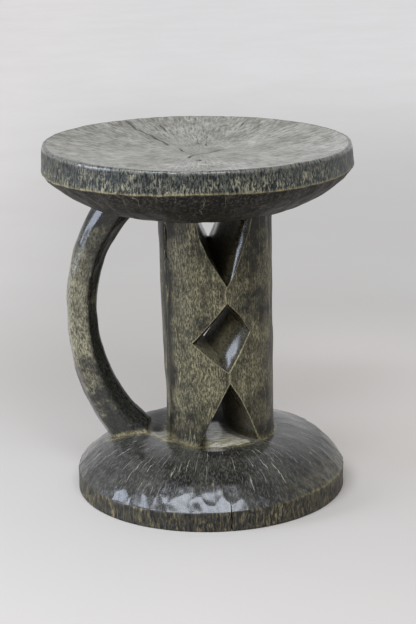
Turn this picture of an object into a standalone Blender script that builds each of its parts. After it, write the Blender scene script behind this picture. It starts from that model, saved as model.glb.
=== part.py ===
"""Hand-carved round stool: a dished seat on a pierced column, with a bowed side handle and a domed base.

The real stool is cut from one log, so it has no joints or fasteners. Each carved member is its own
object here, and neighbours stand a hair's breadth (SEAM) apart where the real wood runs through.
Units are metres and +Z is up. The openings of the column run along Y, and the handle is on the -X side,
turned a little to the back. The origin is the centre of the base's underside.
"""

import math

import bmesh
import bpy
from mathutils import Matrix, Vector
from mathutils.geometry import interpolate_bezier

# Whole stool
HEIGHT = 0.320
SEAM = 0.0003

# Seat: a dish with an upright rim band and a bowl-shaped underside that flattens over the column
SEAT_SHIFT = -0.007
SEAT_RADIUS = 0.1377
RIM_LEAN = 0.0019
RIM_HEIGHT = 0.0210
RIM_ROUNDING = 0.0016
DISH_DEPTH = 0.0140
SEAT_DEPTH = 0.0565
SEAT_LANDING_MARGIN = 0.0020

# Base: an upright foot band under a dome whose top is flat under the column
BASE_RADIUS = 0.1223
BASE_BAND_HEIGHT = 0.0185
BASE_HEIGHT = 0.0512
BASE_EDGE_ROUNDING = 0.0016
BASE_LANDING_MARGIN = 0.0025

# Column: a round log, a little wider at the top
COLUMN_SHIFT = 0.008
COLUMN_TOP_RADIUS = 0.0511
COLUMN_FOOT_RADIUS = 0.0497

# Openings of the column, from the foot up, as they meet its front and its back
ARCH_HEIGHT = 0.0608
ARCH_LEFT = 0.0260
ARCH_RIGHT = 0.0300
ARCH_WAIST = 0.45
LOWER_NECK_HEIGHT = 0.0089
DIAMOND_HEIGHT = 0.0634
DIAMOND_LEFT = 0.0294
DIAMOND_RIGHT = 0.0214
DIAMOND_LEFT_LIFT = 0.42
DIAMOND_RIGHT_LIFT = 0.55
DIAMOND_RISE = 0.0080
UPPER_NECK_HEIGHT = 0.0145
NOTCH_FRONT_HALF_WIDTH = 0.0255
NOTCH_BACK_HALF_WIDTH = 0.0155
NOTCH_BACK_SIDE = 0.0026
NOTCH_BULGE = 0.62
NOTCH_RISE = 0.0220

# Handle: a bow that is thinnest at the grip and swells into the seat and the base, in an upright plane
# through the base's axis that is turned from -X towards the back
HANDLE_TURN_DEGREES = 17.0
HANDLE_GRIP_REACH = 0.1157
HANDLE_GRIP_HEIGHT = 0.1633
HANDLE_GRIP_RADIUS = 0.0132
HANDLE_TOP_REACH = 0.0571
HANDLE_TOP_RADIUS = 0.0186
HANDLE_TOP_PULL = 0.0194
HANDLE_BOW_UP = 0.0715
HANDLE_FOOT_REACH = 0.0427
HANDLE_FOOT_RADIUS = 0.0229
HANDLE_FOOT_PULL = 0.0153
HANDLE_BOW_DOWN = 0.0923

# Smoothness of the faceted solids
ROUND_SIDES = 72
CURVE_STEPS = 8
HANDLE_STEPS = 9
HANDLE_SIDES_RESOLUTION = 3
CUT_OVERRUN = 0.012

# Heights and radii that follow from the sizes above
SEAT_LANDING_Z = HEIGHT - SEAT_DEPTH
SEAT_LANDING_RADIUS = COLUMN_TOP_RADIUS + abs(COLUMN_SHIFT - SEAT_SHIFT) + SEAT_LANDING_MARGIN
BASE_LANDING_RADIUS = COLUMN_FOOT_RADIUS + abs(COLUMN_SHIFT) + BASE_LANDING_MARGIN
ARCH_TOP_Z = BASE_HEIGHT + ARCH_HEIGHT
DIAMOND_FOOT_Z = ARCH_TOP_Z + LOWER_NECK_HEIGHT
DIAMOND_TOP_Z = DIAMOND_FOOT_Z + DIAMOND_HEIGHT
NOTCH_FOOT_Z = DIAMOND_TOP_Z + UPPER_NECK_HEIGHT


def clear_scene():
    for obj in list(bpy.data.objects):
        bpy.data.objects.remove(obj, do_unlink=True)


def new_collection(name):
    collection = bpy.data.collections.new(name)
    bpy.context.scene.collection.children.link(collection)
    return collection


def stained_wood(name, colour, roughness):
    material = bpy.data.materials.new(name)
    material.use_nodes = True
    shader = material.node_tree.nodes["Principled BSDF"]
    shader.inputs["Base Color"].default_value = (*colour, 1.0)
    shader.inputs["Roughness"].default_value = roughness
    shader.inputs["Metallic"].default_value = 0.0
    return material


def mesh_object(name, bm, collection):
    mesh = bpy.data.meshes.new(name)
    bm.to_mesh(mesh)
    bm.free()
    obj = bpy.data.objects.new(name, mesh)
    collection.objects.link(obj)
    return obj


def as_cutter(obj):
    obj.hide_render = True
    obj.display_type = "WIRE"
    return obj


def cut(obj, cutter):
    modifier = obj.modifiers.new("cut by " + cutter.name, "BOOLEAN")
    modifier.operation = "DIFFERENCE"
    modifier.solver = "EXACT"
    modifier.object = cutter


def curve_points(start, start_pull, end_pull, end):
    """Points of a smooth stretch of a turned profile, as (radius, height)."""
    knots = [Vector((radius, 0.0, height)) for radius, height in (start, start_pull, end_pull, end)]
    return [(point.x, point.z) for point in interpolate_bezier(*knots, CURVE_STEPS)]


def turned(name, profile, shift, collection):
    """A round solid: the profile, listed from the top centre round the outside to the bottom centre, spun about Z."""
    bm = bmesh.new()
    ring = [bm.verts.new((radius, 0.0, height)) for radius, height in profile]
    for above, below in zip(ring, ring[1:]):
        bm.edges.new((above, below))
    obj = mesh_object(name, bm, collection)
    obj.location.x = shift
    screw = obj.modifiers.new("spin", "SCREW")
    screw.axis = "Z"
    screw.steps = ROUND_SIDES
    screw.render_steps = ROUND_SIDES
    screw.use_merge_vertices = True
    screw.merge_threshold = 0.00001
    screw.use_smooth_shade = True
    return obj


def soften(obj, width, angle_degrees):
    """Rounds the sharp turned edges by a fixed width."""
    bevel = obj.modifiers.new("worn edge", "BEVEL")
    bevel.limit_method = "ANGLE"
    bevel.angle_limit = math.radians(angle_degrees)
    bevel.width = width
    bevel.segments = 2


def seat_profile():
    """Dish, rim band, bowl-shaped underside and the flat landing over the column."""
    dish_z = HEIGHT - DISH_DEPTH
    rim_top_radius = SEAT_RADIUS - RIM_LEAN
    rim_foot_z = HEIGHT - RIM_HEIGHT
    bowl_span = SEAT_RADIUS - SEAT_LANDING_RADIUS
    bowl_drop = rim_foot_z - SEAT_LANDING_Z
    dish = curve_points(
        (0.0, dish_z),
        (0.45 * rim_top_radius, dish_z),
        (0.80 * rim_top_radius, HEIGHT - 0.55 * DISH_DEPTH),
        (rim_top_radius, HEIGHT),
    )
    bowl = curve_points(
        (SEAT_RADIUS, rim_foot_z),
        (SEAT_RADIUS - 0.14 * bowl_span, rim_foot_z - 0.40 * bowl_drop),
        (SEAT_LANDING_RADIUS + 0.43 * bowl_span, SEAT_LANDING_Z),
        (SEAT_LANDING_RADIUS, SEAT_LANDING_Z),
    )
    return dish + bowl + [(0.0, SEAT_LANDING_Z)]


def base_profile():
    """Flat landing under the column, dome, upright foot band and flat underside."""
    dome_span = BASE_RADIUS - BASE_LANDING_RADIUS
    dome_rise = BASE_HEIGHT - BASE_BAND_HEIGHT
    dome = curve_points(
        (BASE_LANDING_RADIUS, BASE_HEIGHT),
        (BASE_LANDING_RADIUS + 0.52 * dome_span, BASE_HEIGHT + 0.05 * dome_rise),
        (BASE_RADIUS - 0.08 * dome_span, BASE_BAND_HEIGHT + 0.25 * dome_rise),
        (BASE_RADIUS, BASE_BAND_HEIGHT),
    )
    return [(0.0, BASE_HEIGHT)] + dome + [(BASE_RADIUS, 0.0), (0.0, 0.0)]


def tunnel(name, front, back, waist, collection):
    """A cut right through the column along Y, lofted from its front outline to its back one.

    Each outline is a ring of (side, height) points, with side measured from the column's axis.
    Waist is the share of the sideways width that is left at half depth, where the two cuts meet.
    """
    radius = max(COLUMN_TOP_RADIUS, COLUMN_FOOT_RADIUS)
    front = [Vector(point) for point in front]
    back = [Vector(point) for point in back]
    middle = [Vector((waist * (near.x + far.x) / 2, (near.y + far.y) / 2)) for near, far in zip(front, back)]
    onward = 1.0 + CUT_OVERRUN / radius
    before_front = [core.lerp(near, onward) for core, near in zip(middle, front)]
    behind_back = [core.lerp(far, onward) for core, far in zip(middle, back)]
    bm = bmesh.new()
    rings = []
    for depth, outline in ((-onward, before_front), (0.0, middle), (onward, behind_back)):
        points = [bm.verts.new((COLUMN_SHIFT + point.x, depth * radius, point.y)) for point in outline]
        rings.append([bm.edges.new((a, b)) for a, b in zip(points, points[1:] + points[:1])])
    for near, far in zip(rings, rings[1:]):
        bmesh.ops.bridge_loops(bm, edges=near + far)
    for end in (rings[0], rings[-1]):
        bmesh.ops.contextual_create(bm, geom=end)
    bmesh.ops.recalc_face_normals(bm, faces=bm.faces)
    return as_cutter(mesh_object(name, bm, collection))


def column_openings(cutters):
    """Arch at the foot, diamond in the middle and notch under the seat."""
    below = BASE_HEIGHT - CUT_OVERRUN
    above = SEAT_LANDING_Z + CUT_OVERRUN
    arch_spread = 1.0 + CUT_OVERRUN / ARCH_HEIGHT
    arch = [(-ARCH_LEFT * arch_spread, below), (ARCH_RIGHT * arch_spread, below), (0.0, ARCH_TOP_Z)]

    diamond = [
        (0.0, DIAMOND_FOOT_Z),
        (DIAMOND_RIGHT, DIAMOND_FOOT_Z + DIAMOND_RIGHT_LIFT * DIAMOND_HEIGHT),
        (0.0, DIAMOND_TOP_Z),
        (-DIAMOND_LEFT, DIAMOND_FOOT_Z + DIAMOND_LEFT_LIFT * DIAMOND_HEIGHT),
    ]
    diamond_back = [(side, height + DIAMOND_RISE) for side, height in diamond]

    def notch(side, foot_z, half_width):
        middle_z = (foot_z + SEAT_LANDING_Z) / 2
        bulge = NOTCH_BULGE * half_width
        spread = bulge + (half_width - bulge) * (above - middle_z) / (SEAT_LANDING_Z - middle_z)
        right = [(side, foot_z), (side + bulge, middle_z), (side + spread, above)]
        return right + [(side - spread, above), (side - bulge, middle_z)]

    return [
        tunnel("arch_cut", arch, arch, ARCH_WAIST, cutters),
        tunnel("diamond_cut", diamond, diamond_back, 1.0, cutters),
        tunnel(
            "notch_cut",
            notch(0.0, NOTCH_FOOT_Z, NOTCH_FRONT_HALF_WIDTH),
            notch(NOTCH_BACK_SIDE, NOTCH_FOOT_Z + NOTCH_RISE, NOTCH_BACK_HALF_WIDTH),
            1.0,
            cutters,
        ),
    ]


def post(name, side, openings, parts, cutters):
    """One half of the pierced column: side is -1 for the handle's side and 1 for the other."""
    foot_z = BASE_HEIGHT + SEAM
    length = SEAT_LANDING_Z - SEAM - foot_z
    bm = bmesh.new()
    bmesh.ops.create_cone(
        bm,
        cap_ends=True,
        segments=ROUND_SIDES,
        radius1=COLUMN_FOOT_RADIUS,
        radius2=COLUMN_TOP_RADIUS,
        depth=length,
    )
    obj = mesh_object(name, bm, parts)
    obj.location = (COLUMN_SHIFT, 0.0, foot_z + length / 2)

    bm = bmesh.new()
    bmesh.ops.create_cube(bm, size=1.0)
    half_width = COLUMN_TOP_RADIUS + COLUMN_FOOT_RADIUS
    size = Matrix.Diagonal((half_width, 2 * half_width, 2 * length, 1.0))
    centre_x = COLUMN_SHIFT - side * (half_width - SEAM) / 2
    place = Matrix.Translation((centre_x, 0.0, obj.location.z))
    bmesh.ops.transform(bm, matrix=place @ size, verts=bm.verts)
    other_half = as_cutter(mesh_object(name + "_other_half", bm, cutters))

    for opening in openings:
        cut(obj, opening)
    cut(obj, other_half)
    return obj


def handle(parts, cutters):
    """The bowed grip: a tapering curve from inside the seat to inside the base, cut back to their surfaces."""
    curve = bpy.data.curves.new("handle_bow", "CURVE")
    curve.dimensions = "3D"
    curve.bevel_depth = HANDLE_GRIP_RADIUS
    curve.bevel_resolution = HANDLE_SIDES_RESOLUTION
    curve.resolution_u = HANDLE_STEPS
    curve.use_fill_caps = True
    spline = curve.splines.new("BEZIER")
    spline.bezier_points.add(2)

    foot = Vector((-HANDLE_FOOT_REACH, 0.0, BASE_HEIGHT / 2))
    grip = Vector((-HANDLE_GRIP_REACH, 0.0, HANDLE_GRIP_HEIGHT))
    top = Vector((-HANDLE_TOP_REACH, 0.0, HEIGHT - RIM_HEIGHT - SEAT_DEPTH / 4))
    up = Vector((0.0, 0.0, 1.0))
    foot_lean = (grip - up * HANDLE_BOW_DOWN - foot).normalized() * HANDLE_FOOT_PULL
    top_lean = (grip + up * HANDLE_BOW_UP - top).normalized() * HANDLE_TOP_PULL
    knots = (
        (foot, foot - foot_lean, foot + foot_lean, HANDLE_FOOT_RADIUS),
        (grip, grip - up * HANDLE_BOW_DOWN, grip + up * HANDLE_BOW_UP, HANDLE_GRIP_RADIUS),
        (top, top + top_lean, top - top_lean, HANDLE_TOP_RADIUS),
    )
    for point, (place, before, after, radius) in zip(spline.bezier_points, knots):
        point.co = place
        point.handle_left_type = "FREE"
        point.handle_right_type = "FREE"
        point.handle_left = before
        point.handle_right = after
        point.radius = radius / HANDLE_GRIP_RADIUS

    bow = bpy.data.objects.new("handle_bow", curve)
    cutters.objects.link(bow)
    graph = bpy.context.evaluated_depsgraph_get()
    bm = bmesh.new()
    bm.from_mesh(bpy.data.meshes.new_from_object(bow.evaluated_get(graph)))
    bmesh.ops.remove_doubles(bm, verts=bm.verts, dist=0.00001)
    turn = Matrix.Rotation(-math.radians(HANDLE_TURN_DEGREES), 3, "Z")
    bmesh.ops.rotate(bm, cent=(0.0, 0.0, 0.0), matrix=turn, verts=bm.verts)
    bpy.data.objects.remove(bow, do_unlink=True)
    obj = mesh_object("handle", bm, parts)

    seat_room = as_cutter(turned("seat_room", seat_profile(), SEAT_SHIFT, cutters))
    seat_room.location.z = -SEAM
    base_room = as_cutter(turned("base_room", base_profile(), 0.0, cutters))
    base_room.location.z = SEAM
    cut(obj, seat_room)
    cut(obj, base_room)
    return obj


def build():
    clear_scene()
    parts = new_collection("carved_stool")
    cutters = new_collection("cutters")

    seat = turned("seat", seat_profile(), SEAT_SHIFT, parts)
    soften(seat, RIM_ROUNDING, 30.0)
    seat.data.materials.append(stained_wood("seat_wood", (0.14, 0.135, 0.122), 0.42))

    base = turned("base", base_profile(), 0.0, parts)
    soften(base, BASE_EDGE_ROUNDING, 60.0)
    base.data.materials.append(stained_wood("base_wood", (0.052, 0.050, 0.044), 0.38))

    openings = column_openings(cutters)
    post_wood = (0.078, 0.074, 0.058)
    for name, side in (("left_post", -1), ("right_post", 1)):
        half = post(name, side, openings, parts, cutters)
        half.data.materials.append(stained_wood(name + "_wood", post_wood, 0.48))

    grip = handle(parts, cutters)
    grip.data.materials.append(stained_wood("handle_wood", (0.070, 0.066, 0.054), 0.36))


build()
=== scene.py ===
import functools
import math
import random

import bmesh
import bpy
import numpy as np
from mathutils import Matrix, Vector, kdtree, noise
from mathutils.geometry import interpolate_bezier


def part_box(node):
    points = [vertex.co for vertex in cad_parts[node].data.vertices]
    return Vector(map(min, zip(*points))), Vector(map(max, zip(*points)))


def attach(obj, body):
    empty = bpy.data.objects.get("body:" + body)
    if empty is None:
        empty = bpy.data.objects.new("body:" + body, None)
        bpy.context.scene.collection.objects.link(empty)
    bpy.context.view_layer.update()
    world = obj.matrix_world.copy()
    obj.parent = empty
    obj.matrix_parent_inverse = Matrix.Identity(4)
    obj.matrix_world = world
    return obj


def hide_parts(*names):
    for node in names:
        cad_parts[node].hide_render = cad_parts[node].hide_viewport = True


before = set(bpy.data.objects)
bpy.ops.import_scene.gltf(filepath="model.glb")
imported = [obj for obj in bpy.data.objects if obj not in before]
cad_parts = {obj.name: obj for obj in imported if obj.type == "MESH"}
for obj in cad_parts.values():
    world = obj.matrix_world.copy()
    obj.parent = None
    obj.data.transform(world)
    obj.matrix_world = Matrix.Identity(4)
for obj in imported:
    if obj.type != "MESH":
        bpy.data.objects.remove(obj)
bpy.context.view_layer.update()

MM = 0.001
scene = bpy.context.scene


# Base
# The foot of the log: a thick dome over an upright band. An adze left broad scoops on the shoulder, the top
# was pared smooth round the column, and the whole was blackened and rubbed with fat.
base_low, base_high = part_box("base")
BASE_RADIUS = base_high.x
BASE_HEIGHT = base_high.z
CROWN_RADIUS = 60.2 * MM
BAND_HEIGHT = 18.5 * MM
FOOT_BEVEL = 1.2 * MM
DOME_TOP_Z = 40 * MM
COLUMN_LEFT, COLUMN_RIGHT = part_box("left_post")[0].x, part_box("right_post")[1].x
COLUMN_X = (COLUMN_LEFT + COLUMN_RIGHT) / 2
COLUMN_TOP_RADIUS = (COLUMN_RIGHT - COLUMN_LEFT) / 2
COLUMN_FOOT_RADIUS = COLUMN_TOP_RADIUS - 1.4 * MM
HANDLE_TURN = math.radians(17)
HANDLE_INWARD = Vector((math.cos(HANDLE_TURN), -math.sin(HANDLE_TURN), 0.0))
HANDLE_BACK = Vector((math.sin(HANDLE_TURN), math.cos(HANDLE_TURN), 0.0))


def run(*knots, spacing):
    """Points about this far apart along a Bezier stretch of a turned profile, as (radius, height)."""
    knots = [Vector((radius, 0.0, height)) for radius, height in knots]
    rough = interpolate_bezier(*knots, 32)
    length = sum((b - a).length for a, b in zip(rough, rough[1:]))
    points = interpolate_bezier(*knots, max(3, round(length / spacing)))
    return [(point.x, point.z) for point in points]


def straight(start, end, spacing):
    """Points about this far apart along a straight stretch of a turned profile, without its ends."""
    count = max(2, round(math.dist(start, end) / spacing))
    return [(start[0] + (end[0] - start[0]) * i / count, start[1] + (end[1] - start[1]) * i / count)
            for i in range(1, count)]


def spun(profile, centre_x, steps):
    """A closed round solid from a profile that starts and ends on its upright axis.

    A sixteenth of the turn is spun, in this many steps, and then doubled four times, which is quicker."""
    centre, up = (centre_x, 0.0, 0.0), (0.0, 0.0, 1.0)
    bm = bmesh.new()
    line = [bm.verts.new((centre_x + radius, 0.0, height)) for radius, height in profile]
    edges = [bm.edges.new(pair) for pair in zip(line, line[1:])]
    bmesh.ops.spin(bm, geom=line + edges, cent=centre, axis=up, angle=math.tau / 16, steps=steps)
    for share in (16, 8, 4, 2):
        copy = bmesh.ops.duplicate(bm, geom=bm.verts[:] + bm.edges[:] + bm.faces[:])["geom"]
        verts = [part for part in copy if isinstance(part, bmesh.types.BMVert)]
        bmesh.ops.rotate(bm, cent=centre, matrix=Matrix.Rotation(math.tau / share, 3, up), verts=verts)
    bmesh.ops.remove_doubles(bm, verts=bm.verts, dist=0.000002)
    bmesh.ops.recalc_face_normals(bm, faces=bm.faces)
    return bm


def piece_from(bm, name):
    mesh = bpy.data.meshes.new(name)
    bm.to_mesh(mesh)
    bm.free()
    mesh.shade_smooth()
    piece = bpy.data.objects.new(name, mesh)
    scene.collection.objects.link(piece)
    return piece


def lofted(name, rings):
    """A closed solid through rings of points, with flat ends."""
    bm = bmesh.new()
    loops = []
    for ring in rings:
        verts = [bm.verts.new(place) for place in ring]
        loops.append([bm.edges.new(pair) for pair in zip(verts, verts[1:] + verts[:1])])
    for near, far in zip(loops, loops[1:]):
        bmesh.ops.bridge_loops(bm, edges=near + far)
    for end in (loops[0], loops[-1]):
        bmesh.ops.contextual_create(bm, geom=end)
    bmesh.ops.triangulate(bm, faces=bm.faces)
    bmesh.ops.recalc_face_normals(bm, faces=bm.faces)
    return piece_from(bm, name)


def cut_away(piece, cutters):
    """Cuts these solids out of a piece and removes them."""
    for cutter in cutters:
        cut = piece.modifiers.new("cut", "BOOLEAN")
        cut.operation = "DIFFERENCE"
        cut.solver = "MANIFOLD"
        cut.object = cutter
    graph = bpy.context.evaluated_depsgraph_get()
    piece.data = bpy.data.meshes.new_from_object(piece.evaluated_get(graph))
    piece.modifiers.clear()
    piece.data.materials.clear()
    bm = bmesh.new()
    bm.from_mesh(piece.data)
    bmesh.ops.triangulate(bm, faces=bm.faces)
    bm.to_mesh(piece.data)
    bm.free()
    piece.data.shade_smooth()
    for cutter in cutters:
        bpy.data.objects.remove(cutter, do_unlink=True)


def skin(mesh):
    """The mesh's points and their normals."""
    points = np.empty(len(mesh.vertices) * 3)
    normals = np.empty(len(mesh.vertices) * 3)
    mesh.vertices.foreach_get("co", points)
    mesh.vertex_normals.foreach_get("vector", normals)
    return points.reshape(-1, 3), normals.reshape(-1, 3)


def reshape(mesh, points):
    mesh.vertices.foreach_set("co", points.ravel())
    mesh.update()


def mark(mesh, name, values):
    """Stores a number, or a vector, for each point, which the material reads as an attribute."""
    kind, field = ("FLOAT", "value") if np.ndim(values) == 1 else ("FLOAT_VECTOR", "vector")
    layer = mesh.attributes.new(name, kind, "POINT")
    layer.data.foreach_set(field, np.ascontiguousarray(values, np.float32).ravel())


def ease(values, low, high):
    """0 at low, 1 at high and a smooth step between; low may be the larger."""
    share = np.clip((values - low) / (high - low), 0.0, 1.0)
    return share * share * (3 - 2 * share)


def hump(values, width):
    return np.exp(-(values / width) ** 2)


def unevenness(points, size, seed):
    """Smooth noise from about -1 to 1, with lumps of this size."""
    shift = Vector((seed * 7.31, seed * 3.17, seed * 5.77))
    return np.array([noise.noise(Vector(point) / size + shift) for point in points])


def scoops(points, cuts, hollow):
    """How far the tool left each point above the middle of its cuts, which meet in ridges.

    A cut is its middle and its depth, and hollow is the radius of the tool's sweep."""
    tree = kdtree.KDTree(len(cuts))
    for number, (place, depth) in enumerate(cuts):
        tree.insert(place, number)
    tree.balance()
    return np.array([
        min(reach * reach / (2 * hollow) - cuts[number][1] for place, number, reach in tree.find_n(point, 4))
        for point in points])


def from_line(spots, line):
    """The distance from each spot to a bent line."""
    nearest = np.full(len(spots), np.inf)
    for start, end in zip(line, line[1:]):
        start, step = np.array(start), np.subtract(end, start)
        share = np.clip((spots - start) @ step / (step @ step), 0.0, 1.0)
        nearest = np.minimum(nearest, np.linalg.norm(spots - start - share[:, None] * step, axis=1))
    return nearest


def ring_of_cuts(rows, centre_x, spacing, depth, wander):
    """Middles of tool cuts in rings round an upright axis, unevenly spaced as a hand sets them."""
    cuts = []
    for radius, height in rows:
        count = max(3, round(math.tau * radius / spacing))
        start = random.random()
        for i in range(count):
            angle = math.tau * (i + start + random.uniform(-0.3, 0.3)) / count
            out = radius + random.uniform(-wander, wander)
            place = (centre_x + out * math.cos(angle), out * math.sin(angle),
                     height + random.uniform(-wander, wander))
            cuts.append((place, depth * random.uniform(0.5, 1.4)))
    return cuts


random.seed(11)
crown = run((CROWN_RADIUS, BASE_HEIGHT), (0.0925, 0.0529), (0.1173, 0.0267), (BASE_RADIUS, BAND_HEIGHT),
            spacing=1.2 * MM)
profile = [(0.0, BASE_HEIGHT)] + straight((0.0, BASE_HEIGHT), crown[0], 2.5 * MM) + crown
profile += straight(crown[-1], (BASE_RADIUS, FOOT_BEVEL), 1.3 * MM)
profile += [(BASE_RADIUS, FOOT_BEVEL), (BASE_RADIUS - FOOT_BEVEL, 0.0)]
profile += straight(profile[-1], (0.0, 0.0), 6 * MM) + [(0.0, 0.0)]
base = piece_from(spun(profile, 0.0, steps=30), "base_dome")

points, normals = skin(base.data)
x, y, heights = points[:, 0], points[:, 1], points[:, 2].copy()
radii, turns = np.hypot(x, y), np.arctan2(y, x)
shoulder = ring_of_cuts([(0.1208, 0.0222), (0.1135, 0.0325)], 0.0, 18 * MM, 0.65 * MM, 2 * MM)
flank = ring_of_cuts([(0.103, 0.0396), (0.089, 0.0460), (0.074, 0.0502)], 0.0, 19 * MM, 0.3 * MM, 3 * MM)
band = ring_of_cuts([(BASE_RADIUS, 0.008)], 0.0, 15 * MM, 0.3 * MM, 1 * MM)
under = ring_of_cuts([(r * MM, 0.0) for r in (15, 35, 55, 75, 95, 112)], 0.0, 21 * MM, 0.5 * MM, 3 * MM)
on_shoulder = ease(heights, 0.0165, 0.0195) * ease(heights, 0.0425, 0.0360)
on_flank = ease(heights, 0.0360, 0.0425) * ease(radii, 0.054, 0.066)
on_band = ease(heights, 0.0195, 0.0165) * ease(heights, 0.0005, 0.003)
on_under = ease(normals[:, 2], -0.8, -0.95) * ease(radii, 0.120, 0.112)
ragged = points + 3 * MM * np.stack([unevenness(points, 8 * MM, seed) for seed in (31, 32, 33)], axis=1)
depth = np.minimum(scoops(ragged, shoulder, 75 * MM), 0.3 * MM) * on_shoulder
depth += np.minimum(scoops(points, flank, 160 * MM), 0.1 * MM) * on_flank
depth += np.minimum(scoops(points, band, 120 * MM), 0.1 * MM) * on_band
depth += np.minimum(scoops(points, under, 110 * MM), 0.0) * on_under
depth += 0.5 * MM * unevenness(points, 30 * MM, 1) * ease(heights, 0.0, 0.006)
unrolled = np.stack([turns * 0.12, radii * 0.45, heights * 0.45], axis=1)
depth += 0.3 * MM * unevenness(unrolled, 5 * MM, 2) * on_shoulder
points += normals * depth[:, None]


def band_edge(turns):
    """Height of the edge between the band and the shoulder, which rises and falls twice in a turn."""
    return BAND_HEIGHT + 1.6 * MM * np.cos(2 * (turns + math.radians(38)))


points[:, 2] += (band_edge(turns) - BAND_HEIGHT) * hump(heights - BAND_HEIGHT, 7 * MM) * (radii > 0.1)
points[:, 2] += 3.5 * MM * hump(turns - math.radians(25), 0.7) * hump(radii - 0.108, 0.012) * (heights > 0.02)
from_column = np.hypot(x - COLUMN_X, y) - COLUMN_FOOT_RADIUS
dent = ease(from_column, -0.014, -0.005) * ease(from_column, 0.013, 0.004)
dent *= hump(np.arctan2(y, x - COLUMN_X) + math.radians(116), 0.5)
hollow = hump(np.hypot(x + 47 * MM, y - 13 * MM), 9 * MM)
points[:, 2] -= (1.8 * MM * dent + 2.2 * MM * hollow) * (heights > DOME_TOP_Z)
reshape(base.data, points)

# The drying split at the front, from the foot up into the shoulder: height, drift and half width, in mm.
SPLIT = ((-2, 0.3, 0.9), (5, 0.0, 0.8), (11, 0.4, 0.65), (17, -0.1, 0.7), (23, 0.2, 0.55), (28, -0.3, 0.35),
         (32, 0.1, 0.08))
SPLIT_TURN = math.radians(-92.2)
SPLIT_MOUTH, SPLIT_ROOT = 127 * MM, 106 * MM
outward = Vector((math.cos(SPLIT_TURN), math.sin(SPLIT_TURN), 0.0))
across = Vector((0.0, 0.0, 1.0)).cross(outward)
rings = []
for height, drift, half_width in SPLIT:
    foot = Vector((0.0, 0.0, height * MM)) + across * drift * MM
    edge = across * half_width * MM
    mouth = foot + outward * SPLIT_MOUTH
    rings.append([mouth - edge, mouth + edge, foot + outward * SPLIT_ROOT])
cut_away(base, [lofted("split_cutter", rings)])
base.data.set_sharp_from_angle(angle=math.radians(55))

# Where the band ends, where dirt gathers round the feet, where the wood is bare, and where shade is painted.
points = skin(base.data)[0]
x, y, heights = points.T
radii, turns = np.hypot(x, y), np.arctan2(y, x)
edges = band_edge(turns)
on_top = heights > DOME_TOP_Z
from_column = np.hypot(x - COLUMN_X, y) - COLUMN_FOOT_RADIUS
handle_along, handle_across = points @ HANDLE_INWARD / MM, points @ HANDLE_BACK / MM
from_handle = (np.hypot((handle_along + 78) / 21.5, handle_across / 19.5) - 1) * 20 * MM
trodden = from_line(points[:, :2] / MM, ((-60, 3), (-56, 1), (-50, -9), (-45, -19), (-42, -25)))
in_arch = np.maximum(hump(x - COLUMN_X + 20 * MM, 5 * MM),
                     hump(np.hypot(x - 8 * MM, 2 * y + 76 * MM), 11 * MM))
dirt = np.maximum.reduce([
    hump(from_column - 1.5 * MM, 2.2 * MM), 0.9 * hump(from_handle - 0.5 * MM, 2.0 * MM),
    1.3 * hump(trodden, 4.0), in_arch * (from_column < 0)])
rightward = ease(turns, -1.35, -0.75) * ease(turns, 0.9, 0.4)
on_edge = 0.7 * hump(heights - edges, 1.0 * MM) + 0.35 * hump(heights - edges - 5 * MM, 7 * MM)
# Painted shadow of the left wall: a strip of the arch floor along it stays dark; the bare floor ends toward
# the back.
clear_of_left_shadow = ease(y, 0.020, 0.010) * ease(x - COLUMN_X, -0.022, -0.014)
to_back = ease(y, 0.010, 0.022)
wall_foot = np.interp(y / MM, (-38, -33, -16, 3), (28, 21.5, 12.5, 10)) * MM
# Painted shade behind the column, in the hollow by the handle's foot, behind the handle and by the arch's
# right wall.
painted_shade_and_dulling = np.maximum.reduce([
    to_back * ease(np.abs(x - COLUMN_X), 0.045, 0.030),
    hump(np.hypot(x + 47 * MM, y - 14 * MM), 9 * MM),
    0.6 * to_back * ease(y, 0.085, 0.060) * hump(x + 42 * MM, 17 * MM),
    ease(x, wall_foot - 2 * MM, wall_foot + 2 * MM) * (from_column < -1 * MM)])
# The right flank of the dome is made a little darker and duller.
right_dulling = 0.25 * rightward * ease(radii, 0.080, 0.104) * (heights > edges)
mark(base.data, "side", ease(heights, edges + 1.0 * MM, edges - 0.6 * MM))
mark(base.data, "dirt", np.maximum(dirt * on_top, on_edge * rightward))
mark(base.data, "bare", ease(from_column, -0.5 * MM, -2 * MM) * clear_of_left_shadow * on_top)
mark(base.data, "painted_shade_and_dulling", np.maximum(painted_shade_and_dulling * on_top, right_dulling))
mark(base.data, "checked", ease(heights, 0.025, 0.034) * ease(from_column, 2 * MM, 9 * MM))


def linear(hex_colour):
    """An sRGB hex colour as linear RGBA."""
    parts = [int(hex_colour[i:i + 2], 16) / 255 for i in (1, 3, 5)]
    return (*[p / 12.92 if p <= 0.04045 else ((p + 0.055) / 1.055) ** 2.4 for p in parts], 1.0)


def feed(node, links):
    """Sets sockets of a node, each to a value, to an sRGB hex colour or to the output that feeds it."""
    for socket, value in links.items():
        if isinstance(value, bpy.types.NodeSocket):
            node.id_data.links.new(value, node.inputs[socket])
        else:
            node.inputs[socket].default_value = linear(value) if isinstance(value, str) else value


def add_node(tree, kind, links=None, out=None, **settings):
    """Adds a shader node with its settings and links, and gives the output that is named, or else the first
    that is in use. Each material has it as add, with its own tree."""
    node = tree.nodes.new("ShaderNode" + kind)
    for name, value in settings.items():
        setattr(node, name, value)
    feed(node, links or {})
    return node.outputs[out] if out else next(socket for socket in node.outputs if socket.enabled)


def coats(add, colour, *layers):
    """Lays colours over the first one, each by its share from 0 to 1, as stain, wear and dirt lie on wood."""
    for share, layer in layers:
        colour = add("Mix", {0: share, 6: colour, 7: layer}, data_type="RGBA")
    return colour


def new_material(name):
    material = bpy.data.materials.new(name)
    material.use_nodes = True
    tree = material.node_tree
    return material, functools.partial(add_node, tree), tree.nodes["Principled BSDF"]


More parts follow.
